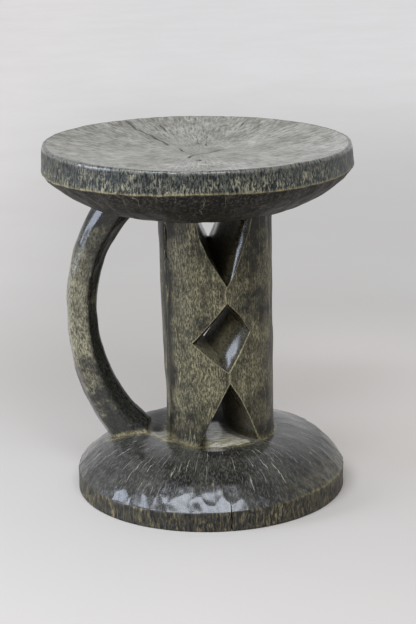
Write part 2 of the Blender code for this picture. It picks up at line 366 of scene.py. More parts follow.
def round_log(add, pith, around, out, up):
    """Coordinates that turn with the log: one unit is this far round it, measured 100 mm from the pith,
    this far out from the pith, and this far up."""
    place = add("TexCoord", out="Object")
    place = add("VectorMath", {0: place, 1: (*pith, 0.0)}, operation="SUBTRACT")
    axes = add("SeparateXYZ", {0: place}).node.outputs
    front = add("Math", {0: axes["Y"], 1: -1.0}, operation="MULTIPLY")
    turn = add("Math", {0: axes["X"], 1: front}, operation="ARCTAN2")
    flat = add("VectorMath", {0: place, 1: (1.0, 1.0, 0.0)}, operation="MULTIPLY")
    reach = add("VectorMath", {0: flat}, operation="LENGTH")
    polar = add("CombineXYZ", {"X": turn, "Y": reach, "Z": axes["Z"]})
    return add("VectorMath", {0: polar, 1: (100 * MM / around, 1 / out, 1 / up)}, operation="MULTIPLY")


def dashes(add, cells, half_width, kept):
    """Fine wavering lines along the second axis, one to a cell. Half width is a share of the cell, and kept
    is the share of the cells that have one."""
    cell = add("TexVoronoi", {"Vector": cells, "Scale": 1.0}, voronoi_dimensions="2D").node.outputs
    inside = add("VectorMath", {0: cells, 1: cell["Position"]}, operation="SUBTRACT")
    inside = add("SeparateXYZ", {0: inside}).node.outputs
    waver = add("TexNoise", {"Vector": cells, "Scale": 2.2, "Detail": 2.0})
    waver = add("MapRange", {0: waver, 1: 0.2, 2: 0.8, 3: -0.22, 4: 0.22})
    off_line = add("Math", {0: inside["X"], 1: waver}, operation="SUBTRACT")
    off_line = add("Math", {0: off_line}, operation="ABSOLUTE")
    line = add("MapRange", {0: off_line, 1: 1.5 * half_width, 2: 0.5 * half_width})
    off_middle = add("Math", {0: inside["Y"]}, operation="ABSOLUTE")
    length = add("MapRange", {0: off_middle, 1: 0.46, 2: 0.22})
    chance = add("SeparateColor", {0: cell["Color"]})
    chosen = add("MapRange", {0: chance, 1: 0.95 - kept, 2: 1.05 - kept})
    line = add("Math", {0: line, 1: length}, operation="MULTIPLY")
    return add("Math", {0: line, 1: chosen}, operation="MULTIPLY")


# Blackened hardwood, rubbed with fat: nearly black with a satin gloss, fine pale drying checks that run out
# over the dome, upright ochre fibres on the band, and bare wood and dirt where nothing rubs it. Painted shade
# lies dark and dull behind the column and in the hollows by the handle and the arch.
blackened, add, shader = new_material("blackened_hardwood")
side, checked, bare, dirt, painted_shade_and_dulling = [add("Attribute", out="Fac", attribute_name=name)
                                    for name in ("side", "checked", "bare", "dirt", "painted_shade_and_dulling")]
place = add("TexCoord", out="Object")
patches = add("TexNoise", {"Vector": place, "Scale": 1 / (24 * MM), "Detail": 5.0, "Roughness": 0.65})
tone = add("MapRange", {0: patches, 1: 0.38, 2: 0.64})
grit = add("TexNoise", {"Vector": round_log(add, (0.0, 0.0), 1.3 * MM, 4 * MM, 4 * MM), "Scale": 1.0,
                              "Detail": 3.0, "Roughness": 0.65})
pale_grit = add("MapRange", {0: grit, 1: 0.50, 2: 0.64, 4: 0.42})
checks = dashes(add, round_log(add, (0.0, 0.0), 6.5 * MM, 20 * MM, 1.0), 0.038, 0.5)
checks = add("Math", {0: checks, 1: checked}, operation="MULTIPLY")
fibres = add("TexNoise", {"Vector": round_log(add, (0.0, 0.0), 1.3 * MM, 7 * MM, 7 * MM), "Scale": 1.0,
                                "Detail": 3.0, "Roughness": 0.7, "Distortion": 0.7})
band_tone = add("MapRange", {0: fibres, 1: 0.38, 2: 0.52})
ochre = add("MapRange", {0: fibres, 1: 0.52, 2: 0.62})
ochre_share = add("MapRange", {0: patches, 1: 0.42, 2: 0.58, 3: 0.25, 4: 0.95})
ochre = add("Math", {0: ochre, 1: ochre_share}, operation="MULTIPLY")
band = coats(add, "#12110e", (band_tone, "#3a372e"), (ochre, "#877b55"))
grain = add("Mapping", {0: place, 3: (1 / (9 * MM), 1 / (2.5 * MM), 1.0)})
bare_tone = add("TexNoise", {"Vector": grain, "Scale": 1.0, "Detail": 3.0})
bare_tone = add("MapRange", {0: bare_tone, 1: 0.36, 2: 0.56})
bare_wood = coats(add, "#857a50", (bare_tone, "#d2ccba"))
crumbs = add("TexNoise", {"Vector": place, "Scale": 1 / (5 * MM), "Detail": 4.0, "Roughness": 0.75})
crumbs = add("MapRange", {0: crumbs, 1: 0.42, 2: 0.58, 4: 0.8})
dirt = add("Math", {0: dirt, 1: crumbs}, operation="MULTIPLY")
# Painted shade: the dark, dull wood behind the column and in the hollows.
shade_share = add("Math", {0: painted_shade_and_dulling, 1: 0.8}, operation="MULTIPLY")
colour = coats(add, "#1c1b18", (tone, "#3a3831"), (pale_grit, "#77746a"), (checks, "#9a9585"), (side, band),
               (bare, bare_wood), (dirt, "#9c8f62"), (shade_share, "#211e1a"))
gloss = add("MapRange", {0: grit, 1: 0.35, 2: 0.70, 3: 0.20, 4: 0.40})
gloss = add("Math", {0: side, 1: 0.25, 2: gloss}, operation="MULTIPLY_ADD")
gloss = add("Math", {0: painted_shade_and_dulling, 1: 0.6, 2: gloss}, operation="MULTIPLY_ADD")
relief = add("Mix", {0: side, 2: grit, 3: fibres}, data_type="FLOAT")
bump = add("Bump", {"Height": relief, "Strength": 0.35, "Distance": 0.5 * MM})
uncoated = add("Math", {0: painted_shade_and_dulling, 1: side}, operation="MAXIMUM")
fat = add("MapRange", {0: uncoated, 3: 0.75, 4: 0.0})
feed(shader, {"Base Color": colour, "Roughness": gloss, "Normal": bump, "Coat Weight": fat,
              "Coat Roughness": 0.16, "Specular IOR Level": 0.4})
base.data.materials.append(blackened)
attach(base, "root")
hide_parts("base")


# Column
# The middle of the log, left round and then pierced from both sides: a pointed notch under the seat, a
# diamond and an arch at the foot. The two posts that are left touch only at two necks.
COLUMN_FOOT_Z = BASE_HEIGHT - 4.5 * MM
COLUMN_TOP_Z = 265 * MM
FRONT, BACK = -1, 1
DEPTHS = (-12, 0, 1, 2, 3.5, 5, 7, 9, 12, 15, 19, 23, 28, 34)


def drawn(outline):
    """A closed outline as points, twelve to each of its sides."""
    corners = np.array(outline)
    share = np.linspace(0.0, 1.0, 12, endpoint=False)[:, None]
    return np.concatenate([a + (b - a) * share for a, b in zip(corners, np.roll(corners, -1, axis=0))])


def opening(name, front, throat, back, front_reach, back_reach):
    """A tunnel cut into the column from both faces, from its outlines of (side, height) in mm on the front,
    where the cuts meet, and on the back. A reach is how deep a mouth, or each of its corners, takes to narrow
    to the throat, in mm."""
    radius = (COLUMN_TOP_RADIUS + COLUMN_FOOT_RADIUS) / 2
    halves = []
    for face, mouth, reach in ((FRONT, front, front_reach), (BACK, back, back_reach)):
        reach = drawn([(r, r) for r in np.broadcast_to(reach, len(mouth))])
        rings = []
        for under in DEPTHS:
            outline = drawn(mouth) + (drawn(throat) - drawn(mouth)) * np.tanh(max(under, 0) / reach)
            side, height = outline.T * MM
            surface = np.sqrt(radius ** 2 - side ** 2)
            rings.append(np.stack([COLUMN_X + side, face * (surface - under * MM), height], axis=1))
        halves.append(rings)
    return lofted(name, halves[0] + halves[1][::-1])


notch_front = [(0.3, 198.5), (7.4, 211.3), (14.8, 230.0), (21.0, 247.2), (27.0, 272.0),
               (-27.5, 272.0), (-22.6, 242.8), (-16.4, 227.1), (-8.5, 213.0)]
notch_throat = [(-0.8, 202.5), (2.4, 213.8), (7.6, 231.2), (13.6, 248.0), (21.0, 272.0),
                (-25.5, 272.0), (-20.8, 244.0), (-14.8, 229.0), (-7.2, 215.5)]
notch_back = [(2.6, 221.0), (5.6, 227.5), (9.2, 235.0), (13.0, 244.5), (20.0, 272.0),
              (-14.5, 272.0), (-9.6, 250.0), (-5.6, 239.0), (-1.2, 229.5)]
diamond_front = [(1.3, 119.3), (11.2, 136.5), (21.2, 155.2), (11.2, 171.8), (0.4, 183.8),
                 (-14.8, 165.2), (-30.2, 146.4), (-14.5, 132.0)]
diamond_throat = [(-11.0, 138.8), (-4.0, 149.0), (8.2, 167.8), (7.0, 169.5), (4.0, 171.5),
                  (-7.5, 158.0), (-18.5, 143.5), (-15.5, 140.5)]
diamond_back = [(0.0, 120.0), (12.0, 136.0), (24.0, 152.0), (12.0, 168.0), (0.0, 184.0),
                (-12.0, 168.0), (-24.0, 152.0), (-12.0, 136.0)]
DIAMOND_REACH = (23, 21, 18, 22, 24, 24, 24, 22)
arch_front = [(1.9, 109.7), (-7.8, 91.5), (-17.6, 71.8), (-27.1, 50.0), (-31.0, 41.0),
              (34.2, 41.0), (29.5, 52.3), (20.0, 75.9), (11.5, 94.4)]
arch_throat = [(0.5, 88.0), (-4.0, 78.5), (-8.5, 64.5), (-12.5, 49.5), (-14.0, 41.0),
               (7.5, 41.0), (7.0, 54.0), (4.5, 71.0), (2.0, 81.0)]
arch_back = [(1.0, 104.0), (-9.0, 89.0), (-17.0, 72.0), (-25.0, 51.0), (-28.0, 41.0),
             (26.0, 41.0), (23.0, 52.0), (15.0, 72.0), (8.0, 90.0)]
profile = [(0.0, COLUMN_FOOT_Z), (COLUMN_FOOT_RADIUS, COLUMN_FOOT_Z)]
profile += straight(profile[-1], (COLUMN_TOP_RADIUS, COLUMN_TOP_Z), 1.25 * MM)
profile += [(COLUMN_TOP_RADIUS, COLUMN_TOP_Z), (0.0, COLUMN_TOP_Z)]
column = piece_from(spun(profile, COLUMN_X, steps=16), "pierced_column")
cut_away(column, [
    opening("notch_cutter", notch_front, notch_throat, notch_back, 8, 40),
    opening("diamond_cutter", diamond_front, diamond_throat, diamond_back, DIAMOND_REACH, 30),
    opening("arch_cutter", arch_front, arch_throat, arch_back, 34, 20),
])

# Long shallow knife cuts, the ridges at the two necks, the uneven foot, the dark drying slit high on the side
# by the handle, and rubbed edges round the openings.
random.seed(12)
points, normals = skin(column.data)
side, back = points[:, 0] - COLUMN_X, points[:, 1].copy()
radii, heights = np.hypot(side, back), points[:, 2].copy()
turns = np.degrees(np.arctan2(back, side))
surface = np.interp(heights, (COLUMN_FOOT_Z, COLUMN_TOP_Z), (COLUMN_FOOT_RADIUS, COLUMN_TOP_RADIUS))
under = np.maximum(surface - radii, 0.0)
outside = ease(under, 2.0 * MM, 0.5 * MM)
cuts = ring_of_cuts([(0.0505, 0.06 + 0.012 * i) for i in range(17)], COLUMN_X, 14 * MM, 0.5 * MM, 3 * MM)
strokes = scoops(points * [1.0, 1.0, 0.35], [((x, y, z * 0.35), d) for (x, y, z), d in cuts], 85 * MM)
depth = np.minimum(strokes, 0.2 * MM) * outside + 0.45 * MM * unevenness(points, 22 * MM, 3)
depth += 0.35 * MM * unevenness(points * [1.0, 1.0, 0.25], 6.5 * MM, 4)
depth += 1.2 * MM * np.exp(-np.maximum(heights - BASE_HEIGHT, 0.0) / (2.2 * MM)) * outside
bend = 1.5 * MM * np.sin((heights - 0.184) / 0.0145 * math.pi)
ridges = hump(side + bend, 0.8 * MM) * ease(heights, 0.1825, 0.1845) * ease(heights, 0.2000, 0.1980)
ridges += hump(side - 1.6 * MM, 0.8 * MM) * ease(heights, 0.1085, 0.1105) * ease(heights, 0.1205, 0.1185)
ridges *= outside * (back < 0)
depth += 0.4 * MM * ridges
wander = 1.2 * MM * unevenness(np.outer(heights, (1.0, 0.0, 0.0)), 12 * MM, 5)
slit = hump(np.radians(turns + 161) * radii - wander, 1.2 * MM)
slit *= ease(heights, 0.214, 0.222) * ease(heights, 0.252, 0.243) * outside
depth -= 4.5 * MM * slit
points += normals * depth[:, None]
pinch = np.where(side < 0, 2.6 * MM, 1.3 * MM) * (side / COLUMN_TOP_RADIUS) ** 4
points[:, 0] += pinch * ease(heights, 0.200, 0.060)
reshape(column.data, points)

column.data.set_sharp_from_angle(angle=math.radians(38))
spots = np.stack([side, heights], axis=1) / MM
from_edge = np.full(len(spots), np.inf)
for face, outlines in ((FRONT, (notch_front, diamond_front, arch_front)),
                       (BACK, (notch_back, diamond_back, arch_back))):
    for outline in outlines:
        nearest = from_line(spots, outline + outline[:1])
        from_edge = np.where(back * face > 0, np.minimum(from_edge, nearest), from_edge)
from_edge = np.where(under > 0.1 * MM, -under / MM, np.minimum(from_edge, 20.0))
unworn = (side < -14 * MM) & (heights < 78 * MM)
from_edge = np.where(unworn, np.copysign(np.maximum(np.abs(from_edge), 0.9), from_edge), from_edge)
mark(column.data, "from_edge", from_edge)
mark(column.data, "ridge", ridges)
# Dust and painted light: upward faces deep in the openings, the lower left walls and the deep notch are made
# paler.
dust_and_notch_light = np.maximum(ease(normals[:, 2], 0.15, 0.6), 0.7 * ease(heights, 0.205, 0.230))
dust_and_notch_light *= np.interp(under / MM, (9, 20), (0, 1))
ledge = 0.8 * ease(normals[:, 2], 0.15, 0.5) * ease(side, -2 * MM, -10 * MM)
ledge *= (heights < 0.160) & (back < 0)
notch_floor = ease(heights, 0.235, 0.215) * (heights > 0.196) * np.interp(under / MM, (3, 10), (0, 1))
mark(column.data, "dust_and_light", np.maximum.reduce([dust_and_notch_light, ledge, notch_floor]))
mark(column.data, "split", slit)
shaded = np.maximum(ease(turns, -150, -164) * ease(turns, -176, -166), 0.6 * ease(heights, 0.222, 0.250))
mark(column.data, "shaded", np.maximum(shaded, 0.5 * ease(heights, 0.074, 0.058)))
# Wear and painted light: paler on the left front high up, and painted light from the floor and base low on
# both sides.
rubbed_and_lit = hump(turns + 118, 28) * (hump(heights - 0.198, 0.028) + 1.4 * hump(heights - 0.112, 0.034))
mark(column.data, "rubbed_and_lit", rubbed_and_lit + 0.7 * hump(turns + 62, 20) * hump(heights - 0.110, 0.034))
mark(column.data, "dirt", np.exp(-np.maximum(heights - BASE_HEIGHT, 0.0) / (1.8 * MM)))


def flecked_wood(add, place, tone, dark, light, fleck):
    """Upright fibres of weathered hardwood, as pale flecks and dark pores on patches of two tones.

    Gives the colour and the fibres' pattern."""
    grain = add("Mapping", {0: place, 3: (1 / (1.15 * MM), 1 / (1.15 * MM), 1 / (3.6 * MM))})
    fibres = add("TexNoise", {"Vector": grain, "Scale": 1.0, "Detail": 3.0, "Roughness": 0.75,
                                    "Distortion": 0.5})
    grain = add("Mapping", {0: place, 3: (1 / (3 * MM), 1 / (3 * MM), 1 / (28 * MM))})
    streaks = add("TexNoise", {"Vector": grain, "Scale": 1.0, "Detail": 2.0})
    density = add("Math", {0: tone, 1: streaks}, operation="MULTIPLY")
    fleck_share = add("MapRange", {0: density, 1: 0.04, 2: 0.46, 3: 0.08, 4: 0.9})
    flecks = add("MapRange", {0: fibres, 1: 0.47, 2: 0.62})
    flecks = add("Math", {0: flecks, 1: fleck_share}, operation="MULTIPLY")
    pores = add("MapRange", {0: fibres, 1: 0.47, 2: 0.34, 4: 0.8})
    return coats(add, dark, (tone, light), (flecks, fleck), (pores, "#1b1a16")), fibres


# Weathered olive hardwood: the upright fibres show as pale flecks between dark pores, a few long veins run up
# it, the edges of the openings are rubbed to bare yellow wood, and dust has settled at the foot. Ledges
# inside the openings and the deep notch are paler with dust and painted light, and the posts are given
# painted light low down.
weathered, add, shader = new_material("weathered_olive_hardwood")
rubbed_and_lit, shaded, from_edge, dust_and_light, dirt, ridge, split = [
    add("Attribute", out="Fac", attribute_name=name)
    for name in ("rubbed_and_lit", "shaded", "from_edge", "dust_and_light", "dirt", "ridge", "split")]
place = add("TexCoord", out="Object")
patches = add("TexNoise", {"Vector": place, "Scale": 1 / (24 * MM), "Detail": 5.0, "Roughness": 0.65})
patches = add("Math", {0: rubbed_and_lit, 1: 0.14, 2: patches}, operation="MULTIPLY_ADD")
patches = add("Math", {0: shaded, 1: -0.2, 2: patches}, operation="MULTIPLY_ADD")
tone = add("MapRange", {0: patches, 1: 0.39, 2: 0.67})
colour, fibres = flecked_wood(add, place, tone, "#1e1c17", "#524e39", "#9a9274")
grain = add("Mapping", {0: place, 3: (1 / (13 * MM), 1 / (13 * MM), 1 / (130 * MM))})
veins = add("TexNoise", {"Vector": grain, "Scale": 1.0, "Detail": 2.0})
veins = add("Math", {0: veins, 1: 0.5}, operation="SUBTRACT")
veins = add("Math", {0: veins}, operation="ABSOLUTE")
veins = add("MapRange", {0: veins, 1: 0.012, 2: 0.003})
broken = add("MapRange", {0: fibres, 1: 0.42, 2: 0.56, 4: 0.7})
veins = add("Math", {0: veins, 1: broken}, operation="MULTIPLY")
grain = add("Mapping", {0: place, 3: (1 / (1.6 * MM), 1 / (11 * MM), 1 / (1.6 * MM))})
chisel_lines = add("TexNoise", {"Vector": grain, "Scale": 1.0, "Detail": 3.0})
chisel_tone = add("MapRange", {0: chisel_lines, 1: 0.34, 2: 0.68})
bare_wall = coats(add, "#1d1a13", (chisel_tone, "#4a4432"))
dust_and_light_wall = coats(add, "#55503d", (chisel_tone, "#857e63"))
inner_wood = coats(add, bare_wall, (dust_and_light, dust_and_light_wall))
inner = add("MapRange", {0: from_edge, 1: -0.1, 2: -0.4})
deep = add("MapRange", {0: from_edge, 1: -9.0, 2: -20.0})
dirt = add("Math", {0: dirt, 1: broken}, operation="MULTIPLY")
near_edge = add("Math", {0: from_edge}, operation="ABSOLUTE")
near_edge = add("MapRange", {0: near_edge, 1: 0.85, 2: 0.45})
worn = add("Math", {0: near_edge, 1: ridge}, operation="MAXIMUM")
worn_share = add("MapRange", {0: fibres, 1: 0.36, 2: 0.56, 3: 0.2, 4: 0.9})
worn = add("Math", {0: worn, 1: worn_share}, operation="MULTIPLY")
colour = coats(add, colour, (veins, "#a79e7c"), (inner, inner_wood), (dirt, "#9c8f62"), (worn, "#a39a78"),
               (split, "#12110f"))
gloss = add("MapRange", {0: fibres, 1: 0.35, 2: 0.65, 3: 0.34, 4: 0.56})
pared = add("Math", {0: inner, 1: -0.22, 2: gloss}, operation="MULTIPLY_ADD")
gloss = add("Math", {0: deep, 1: 0.45, 2: pared}, operation="MULTIPLY_ADD")
relief = add("Mix", {0: inner, 2: fibres, 3: chisel_lines}, data_type="FLOAT")
bump = add("Bump", {"Height": relief, "Strength": 0.4, "Distance": 0.6 * MM})
shallow = add("MapRange", {0: deep, 3: 0.9, 4: 0.0})
wax = add("Math", {0: inner, 1: shallow}, operation="MULTIPLY")
feed(shader, {"Base Color": colour, "Roughness": gloss, "Normal": bump, "Coat Weight": wax,
              "Coat Roughness": 0.2, "Specular IOR Level": 0.3})
column.data.materials.append(weathered)
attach(column, "root")
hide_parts("left_post", "right_post")


# Handle
# A bowed grip of the same wood, left standing beside the column when the waste between them was cut out.
# Knife cuts run along it, its ends swell into the seat and the base, and hands have polished its back.
FOOT, GRIP, TOP = Vector((-0.0427, 0.0256)), Vector((-0.1157, 0.1633)), Vector((-0.0571, 0.2849))
FOOT_RADIUS, GRIP_RADIUS, TOP_RADIUS = 22.9 * MM, 13.2 * MM, 18.6 * MM
GRIP_DOWN, GRIP_UP = GRIP - Vector((0.0, 0.0923)), GRIP + Vector((0.0, 0.0715))
FOOT_PULL = FOOT + (GRIP_DOWN - FOOT).normalized() * 0.0153
TOP_PULL = TOP + (GRIP_UP - TOP).normalized() * 0.0194
ROOT_ALONG = -56.5 * MM
SECTION = 13 * MM
STATIONS = 160
CUT_ROWS, CUTS_ROUND = 14, 7
bow = interpolate_bezier(FOOT, FOOT_PULL, GRIP_DOWN, GRIP, STATIONS)
bow += interpolate_bezier(GRIP, GRIP_UP, TOP_PULL, TOP, STATIONS)[1:]
bow = np.array(bow)
swell = np.concatenate([np.linspace(FOOT_RADIUS, GRIP_RADIUS, STATIONS),
                        np.linspace(GRIP_RADIUS, TOP_RADIUS, STATIONS)[1:]])
travel = np.concatenate([[0.0], np.cumsum(np.linalg.norm(np.diff(bow, axis=0), axis=1))])
bm = bmesh.new()
bmesh.ops.create_cone(bm, cap_ends=True, segments=84, radius1=1.0, radius2=1.0, depth=1.0,
                      matrix=Matrix.Translation((0.0, 0.0, 0.5)))
lengthwise = [edge for edge in bm.edges if abs(edge.verts[0].co.z - edge.verts[1].co.z) > 0.5]
bmesh.ops.subdivide_edges(bm, edges=lengthwise, cuts=260, use_grid_fill=True)
handle = piece_from(bm, "bowed_handle")


def on_bow(way):
    return np.stack([np.interp(way, travel, bow[:, i]) for i in range(2)], axis=1)


# The straight dowel is bent along the bow, which lies in the handle's upright plane. Its section is round
# with long flats cut by the knife: the way each faces, in degrees from the inner side and less than 0 to the
# front, its lowest and highest point, and the share of the thickness that is left.
FLATS = ((-122, 0.204, 0.268, 0.985), (-92, 0.040, 0.200, 0.94), (-33, 0.045, 0.275, 0.92),
         (-150, 0.050, 0.190, 0.95), (175, 0.060, 0.270, 0.96), (88, 0.050, 0.270, 0.92),
         (35, 0.060, 0.270, 0.90))
random.seed(13)
dowel, normals = skin(handle.data)
way = dowel[:, 2] * travel[-1]
centre = on_bow(way)
ahead = on_bow(way + 2 * MM) - on_bow(way - 2 * MM)
ahead /= np.linalg.norm(ahead, axis=1)[:, None]
angle = np.arctan2(dowel[:, 1], dowel[:, 0])
height = centre[:, 1]
section = np.ones(len(height))
for turn, low, high, share in FLATS:
    lean = 0.20 * unevenness(np.outer(way, (1.0, 0.0, 0.0)), 40 * MM, abs(turn))
    facing = np.cos(angle - math.radians(turn) - lean)
    strength = ease(height, low - 0.012, low + 0.012) * ease(height, high + 0.012, high - 0.012)
    flat = np.where(facing > 0.3, share / np.maximum(facing, 0.3), 2.0)
    section = np.minimum(section, 1 + (flat - 1) * strength)
cuts = []
for row in range(CUT_ROWS):
    for i in range(CUTS_ROUND):
        turn = math.tau * (i + 0.5 * (row % 2) + random.uniform(-0.25, 0.25)) / CUTS_ROUND
        up = travel[-1] * (row + random.uniform(0.2, 0.8)) / CUT_ROWS
        cuts.append(((SECTION * math.cos(turn), SECTION * math.sin(turn), up * 0.4),
                     0.4 * MM * random.uniform(0.4, 1.4)))
unrolled = np.stack([SECTION * np.cos(angle), SECTION * np.sin(angle), way], axis=1)
tight = unrolled * [1.0, 1.0, 0.4]
rough = 0.4 * MM * unevenness(tight, 16 * MM, 6) + np.minimum(scoops(tight, cuts, 30 * MM), 0.15 * MM)
spread = (np.interp(way, travel, swell) * section * 1.02 + rough) * np.hypot(dowel[:, 0], dowel[:, 1])
along = centre[:, 0] + ahead[:, 1] * spread * np.cos(angle)
heights = height - ahead[:, 0] * spread * np.cos(angle)
along = np.minimum(along, np.where(heights > BASE_HEIGHT - 4 * MM, ROOT_ALONG, 0.0))
points = np.outer(along, HANDLE_INWARD) + np.outer(spread * np.sin(angle), HANDLE_BACK)
points[:, 2] = heights
reshape(handle.data, points)
bm = bmesh.new()
bm.from_mesh(handle.data)
bmesh.ops.recalc_face_normals(bm, faces=bm.faces)
bm.to_mesh(handle.data)
bm.free()
dome = np.interp(np.hypot(points[:, 0], points[:, 1]), *zip(*crown))
mark(handle.data, "along_bow", unrolled)
mark(handle.data, "rubbed_and_lit", ease(height, 0.112, 0.134) * ease(height, 0.248, 0.180))
mark(handle.data, "inside", ease(np.cos(angle - math.radians(-10)), 0.55, 0.85))
mark(handle.data, "dirt", hump(heights - dome - 0.8 * MM, 1.8 * MM))

# Hand-polished hardwood: dark olive brown and satin, paler where the grip has lost its stain and nearly black
# inside the bow, with specks and dark pores drawn out along it.
polished, add, shader = new_material("hand_polished_hardwood")
rubbed_and_lit, inside, dirt = [add("Attribute", out="Fac", attribute_name=name)
                        for name in ("rubbed_and_lit", "inside", "dirt")]
place = add("Attribute", out="Vector", attribute_name="along_bow")
patches = add("TexNoise", {"Vector": place, "Scale": 1 / (20 * MM), "Detail": 5.0, "Roughness": 0.65})
patches = add("Math", {0: rubbed_and_lit, 1: 0.26, 2: patches}, operation="MULTIPLY_ADD")
patches = add("Math", {0: inside, 1: -0.32, 2: patches}, operation="MULTIPLY_ADD")
tone = add("MapRange", {0: patches, 1: 0.48, 2: 0.76})
colour, fibres = flecked_wood(add, place, tone, "#1c1c1a", "#66624d", "#a8a184")
crumbs = add("MapRange", {0: fibres, 1: 0.38, 2: 0.54, 4: 0.9})
dirt = add("Math", {0: dirt, 1: crumbs}, operation="MULTIPLY")
colour = coats(add, colour, (dirt, "#b0a478"))
gloss = add("MapRange", {0: fibres, 1: 0.35, 2: 0.65, 3: 0.22, 4: 0.42})
bump = add("Bump", {"Height": fibres, "Strength": 0.25, "Distance": 0.5 * MM})
wax = add("MapRange", {0: inside, 3: 0.6, 4: 0.0})
feed(shader, {"Base Color": colour, "Roughness": gloss, "Normal": bump, "Coat Weight": wax,
              "Coat Roughness": 0.16, "Specular IOR Level": 0.35})
handle.data.materials.append(polished)
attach(handle, "root")
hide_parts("handle")


# Seat
# The top of the log, hollowed to a shallow dish inside an upright rim band, with a bowl-shaped underside
# trimmed by adze. The dish shows the log's end grain: rays and drying cracks run out from the pith.
seat_low, seat_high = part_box("seat")
SEAT_X = (seat_low.x + seat_high.x) / 2
SEAT_RADIUS = (seat_high.x - seat_low.x) / 2
SEAT_FOOT_Z = seat_low.z
SEAT_FOOT_RADIUS = 68.1 * MM
RIM_FOOT_Z = 299.2 * MM
PITH = (-4 * MM, 11 * MM)
dish = run((0.0, 0.3060), (0.0611, 0.3060), (0.1086, 0.3123), (0.1326, 0.3191), spacing=0.8 * MM)
dish = [point for i, point in enumerate(dish) if point[0] < 0.034 or i % 2 == 0]
rim_foot = (SEAT_RADIUS, RIM_FOOT_Z + 0.7 * MM)
bowl = run((SEAT_RADIUS - 1.0 * MM, RIM_FOOT_Z - 1.3 * MM), (0.1290, 0.2848), (0.0980, SEAT_FOOT_Z),
           (SEAT_FOOT_RADIUS, SEAT_FOOT_Z), spacing=1.8 * MM)
LIP_RADIUS = 132.6 * MM
lip = run((LIP_RADIUS, 0.3191), (0.1342, 0.3197), (0.1357, 0.3190), (0.1362, 0.3166), spacing=0.6 * MM)
profile = dish + lip[1:] + straight(lip[-1], rim_foot, 1.3 * MM)
profile += [rim_foot, (SEAT_RADIUS - 0.1 * MM, RIM_FOOT_Z), (SEAT_RADIUS - 0.5 * MM, RIM_FOOT_Z - 0.7 * MM)]
profile += bowl
profile += straight(bowl[-1], (0.0, SEAT_FOOT_Z), 8 * MM) + [(0.0, SEAT_FOOT_Z)]
seat = piece_from(spun(profile, SEAT_X, steps=30), "dished_seat")

random.seed(14)
points, normals = skin(seat.data)
side, back, heights = points[:, 0] - SEAT_X, points[:, 1].copy(), points[:, 2].copy()
radii, turns = np.hypot(side, back), np.degrees(np.arctan2(back, side))
in_dish = ease(normals[:, 2], 0.25, 0.55) * ease(radii, LIP_RADIUS + 0.8 * MM, LIP_RADIUS)
on_bowl = ease(normals[:, 2], -0.35, -0.55) * ease(radii, 0.060, 0.072)
on_rim = ease(np.abs(normals[:, 2]), 0.6, 0.4)
dish_cuts = ring_of_cuts([(r * MM, 0.306 + 0.0135 * (r / 136) ** 2.4) for r in range(14, 130, 14)],
                         SEAT_X, 18 * MM, 0.2 * MM, 3 * MM)
bowl_rows = [(0.134, 0.2925), (0.124, 0.2825), (0.110, 0.2742), (0.094, 0.2682), (0.078, 0.2645)]
bowl_cuts = ring_of_cuts(bowl_rows, SEAT_X, 21 * MM, 0.6 * MM, 2 * MM)
rim_cuts = ring_of_cuts([(0.1368, 0.3090)], SEAT_X, 13 * MM, 0.2 * MM, 1 * MM)
depth = np.minimum(scoops(points, dish_cuts, 200 * MM), 0.1 * MM) * in_dish * ease(radii, 0.134, 0.130)
depth += np.minimum(scoops(points, bowl_cuts, 62 * MM), 0.2 * MM) * on_bowl
rim_cuts = [((x, y, z * 0.3), d) for (x, y, z), d in rim_cuts]
depth += np.minimum(scoops(points * [1.0, 1.0, 0.3], rim_cuts, 130 * MM), 0.1 * MM) * on_rim
depth += 0.5 * MM * unevenness(points, 35 * MM, 7)
depth += 0.3 * MM * unevenness(points, 6 * MM, 8) * ease(radii, 0.130, 0.134)
points += normals * depth[:, None]

# Hand-cut slack: the rim is higher by the handle, and its lower edge dips there and rises at the front.
rim_sag = 1.9 * MM * hump(turns + 100, 16) - 2.0 * MM * hump(np.abs(turns) - 180, 35)
rim_sag += 0.5 * MM * unevenness(np.stack([side, back, side * 0], axis=1), 14 * MM, 9)
points[:, 2] += rim_sag * hump(heights - RIM_FOOT_Z, 6 * MM) * (radii > 0.12)
points[:, 2] -= 0.0095 * side * ease(heights, 0.294, 0.316)

# Cracks in the dish, as half width, depth, and points from the pith's side outwards, all in mm.
LONG_CRACK = ((-25, 52), (-27, 64), (-31, 75), (-34, 86), (-41, 97), (-46, 103), (-48, 114), (-52, 123))
CRACKS = ((1.1, 1.6, ((-16, -6), (-11, 4), (-5, 8), (4, 12), (10, 15), (21, 22))), (1.0, 1.2, LONG_CRACK),
          (0.8, 1.0, ((-10, 12), (-13, 18), (-15, 29), (-16, 37))),
          (0.7, 0.7, ((-19, 8), (-23, 6), (-32, 10))), (0.7, 0.7, ((7, -6), (20, -18), (27, -24), (32, -32))),
          (0.8, 0.9, ((-18, 96), (-20, 107), (-22, 113))),
          (1.5, 1.4, ((-9, -20), (-7, -17))), (1.3, 1.0, ((-6, -32), (-5, -36))),
          (1.3, 1.0, ((-12, -49), (-11, -53))), (1.2, 0.8, ((-5, -55), (-4, -58))),
          (0.6, 0.7, ((4, 51), (4, 57))), (0.6, 0.7, ((9, 42), (10, 48))), (0.6, 0.7, ((14, 68), (16, 76))),
          (0.6, 0.7, ((33, 102), (40, 103))), (0.6, 0.7, ((51, 94), (56, 103))))
spots = points[:, :2] / MM
drift = spots + 1.4 * np.stack([unevenness(points, 9 * MM, seed) for seed in (21, 22)], axis=1)
cracks = np.zeros(len(points))
for half_width, deep, line in CRACKS:
    crack = hump(from_line(drift, line), half_width) * in_dish
    points[:, 2] -= crack * deep * MM
    cracks = np.maximum(cracks, crack)
reshape(seat.data, points)
mark(seat.data, "split", cracks)
